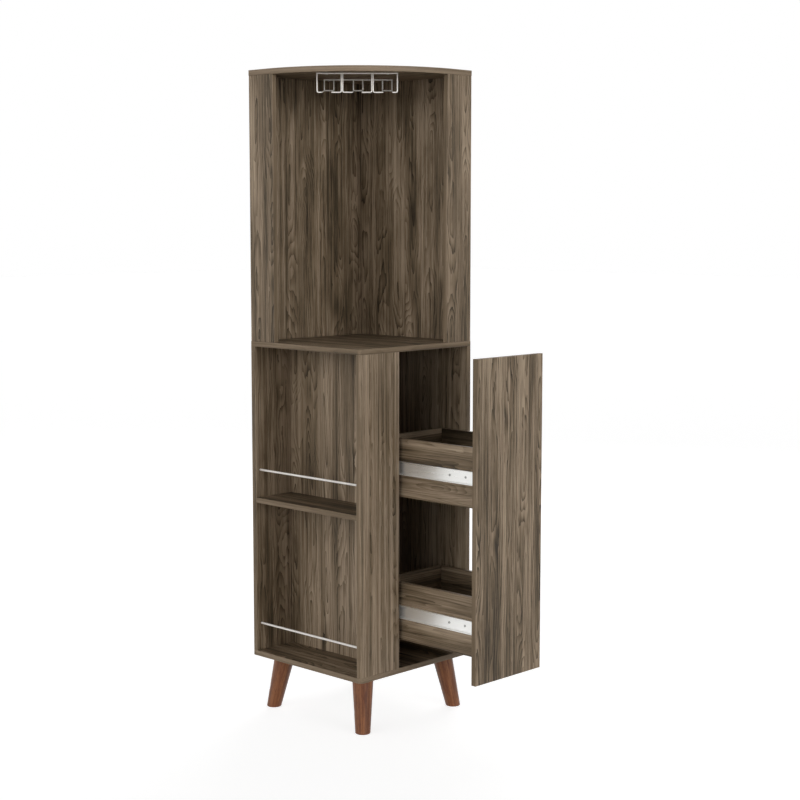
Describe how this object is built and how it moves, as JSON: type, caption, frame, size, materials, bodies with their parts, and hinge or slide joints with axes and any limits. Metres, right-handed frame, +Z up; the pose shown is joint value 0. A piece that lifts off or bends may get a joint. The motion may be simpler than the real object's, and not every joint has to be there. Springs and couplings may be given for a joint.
{
  "type": "corner bar cabinet",
  "caption": "Tall corner bar cabinet with a rounded display niche, hanging stemware rack, open side bays with gallery rails, splayed legs and a pull-out bottle drawer unit.",
  "frame": {"origin": "centre of the floor rectangle under the cabinet with its drawer unit pulled out, at floor level", "axes": "+Z up; the drawer side faces -Y and the open side bays face -X; the room walls are at +X and +Y"},
  "size_m": [0.435, 0.711, 1.795],
  "materials": {
    "laminate": "walnut-effect melamine laminate, matt",
    "leg_wood": "stained turned hardwood, satin",
    "hardboard": "thin laminated hardboard",
    "dowel_wood": "fluted beech",
    "bright_wire": "chrome-plated wire",
    "slide_steel": "zinc-plated folded sheet",
    "ball_steel": "bright balls in a sheet retainer",
    "zinc_steel": "zinc-plated screws and bolts",
    "zinc_casting": "die-cast zinc",
    "brass": "turned brass"
  },
  "bodies": {
    "carcass": {"bottom_board": "laminate", "cam_bolts": "zinc_steel", "cam_discs": "zinc_casting", "carcass_dowels": "dowel_wood", "corner_post": "laminate", "divider_panel": "laminate", "front_leg": "leg_wood", "left_leg": "leg_wood", "leg_bolts": "zinc_steel", "leg_inserts": "brass", "lower_gallery_rail": "bright_wire", "lower_left_slide_cabinet_rail": "slide_steel", "lower_left_wall_panel": "laminate", "lower_right_slide_cabinet_rail": "slide_steel", "lower_right_wall_panel": "laminate", "middle_board": "laminate", "rack_front_drops": "bright_wire", "rack_front_feet": "bright_wire", "rack_front_wire": "bright_wire", "rack_rails": "bright_wire", "rack_rear_drops": "bright_wire", "rack_rear_wire": "bright_wire", "rack_screws": "zinc_steel", "rack_stops": "bright_wire", "rear_leg": "leg_wood", "right_leg": "leg_wood", "side_shelf": "laminate", "slide_cabinet_screws": "zinc_steel", "top_board": "laminate", "upper_gallery_rail": "bright_wire", "upper_left_slide_cabinet_rail": "slide_steel", "upper_left_stile": "laminate", "upper_left_wall_panel": "laminate", "upper_right_slide_cabinet_rail": "slide_steel", "upper_right_stile": "laminate", "upper_right_wall_panel": "laminate"},
    "pullout": {"drawer_back_screws": "zinc_steel", "drawer_dowels": "dowel_wood", "drawer_front": "laminate", "lower_drawer_back": "laminate", "lower_drawer_bottom": "hardboard", "lower_drawer_left_side": "laminate", "lower_drawer_right_side": "laminate", "lower_left_slide_drawer_rail": "slide_steel", "lower_right_slide_drawer_rail": "slide_steel", "slide_drawer_screws": "zinc_steel", "upper_drawer_back": "laminate", "upper_drawer_bottom": "hardboard", "upper_drawer_left_side": "laminate", "upper_drawer_right_side": "laminate", "upper_left_slide_drawer_rail": "slide_steel", "upper_right_slide_drawer_rail": "slide_steel"},
    "ball_cages": {"lower_left_slide_ball_cage": "ball_steel", "lower_right_slide_ball_cage": "ball_steel", "upper_left_slide_ball_cage": "ball_steel", "upper_right_slide_ball_cage": "ball_steel"}
  },
  "joints": [
    {"name": "pullout_slide", "type": "slide", "parent": "carcass", "child": "pullout", "axis": [0, -1, 0], "range_m": [-0.276, 0]},
    {"name": "cage_slide", "type": "slide", "parent": "carcass", "child": "ball_cages", "axis": [0, -1, 0], "range_m": [-0.138, 0]}
  ],
  "couplings": [
    {"joint": "cage_slide", "follows": "pullout_slide", "ratio": 0.5}
  ]
}
